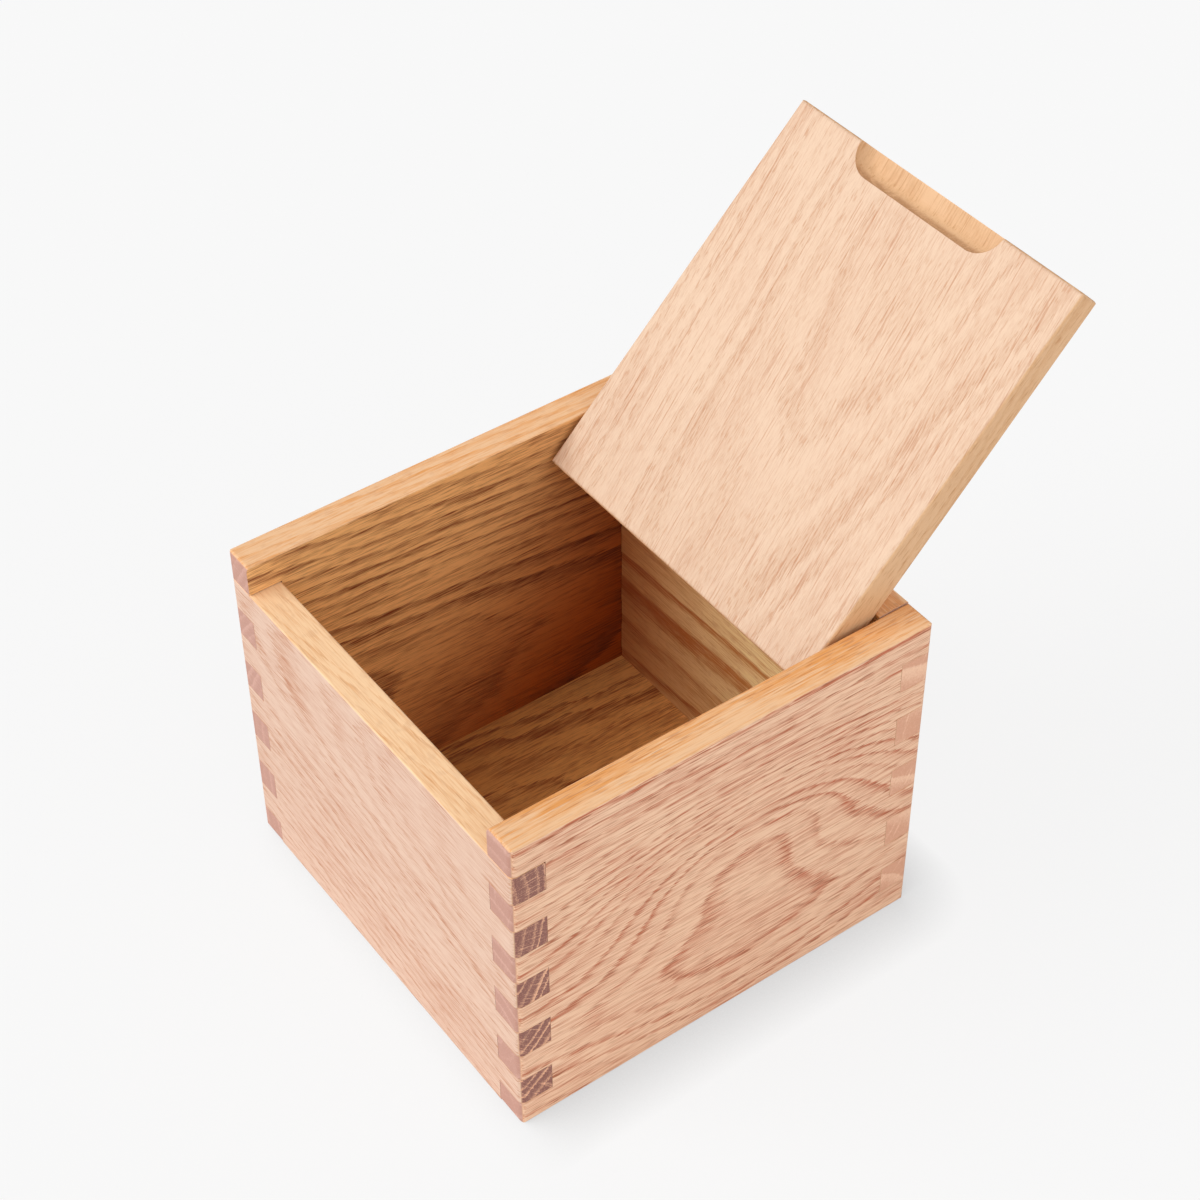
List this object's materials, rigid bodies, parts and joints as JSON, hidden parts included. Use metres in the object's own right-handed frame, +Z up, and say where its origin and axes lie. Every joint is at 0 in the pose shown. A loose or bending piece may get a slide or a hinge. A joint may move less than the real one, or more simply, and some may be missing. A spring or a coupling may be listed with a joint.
{
  "type": "salt box with pivoting lid",
  "caption": "Square finger-jointed oak box for salt, with a flat lid that turns on hidden side pins near its rear edge and leans back open on the rear wall.",
  "frame": {"origin": "middle of the flat underside that the box rests on", "axes": "+X to the right, +Y to the back, where the lid leans when open, and +Z up. The front wall, the low one under the lid's free edge, faces -Y."},
  "size_m": [0.128, 0.1819, 0.1774],
  "materials": {
    "oak_cross": "sanded and oiled oak, light, straight grain",
    "oak_side": "sanded and oiled oak, flat sawn with a flame figure",
    "oak_base": "sanded and oiled oak, seen in the shade of the box",
    "oak_lid": "sanded and oiled oak, the palest board",
    "pin_steel": "ground rod"
  },
  "bodies": {
    "box": {"front_wall": "oak_cross", "rear_wall": "oak_cross", "left_wall": "oak_side", "right_wall": "oak_side", "base_panel": "oak_base", "left_pivot_pin": "pin_steel", "right_pivot_pin": "pin_steel"},
    "lid": {"lid": "oak_lid"}
  },
  "joints": [
    {"name": "lid_pivot", "type": "hinge", "parent": "box", "child": "lid", "pos_m": [0, 0.04183, 0.0991], "axis": [1, 0, 0], "range_deg": [0, 134.01]}
  ]
}
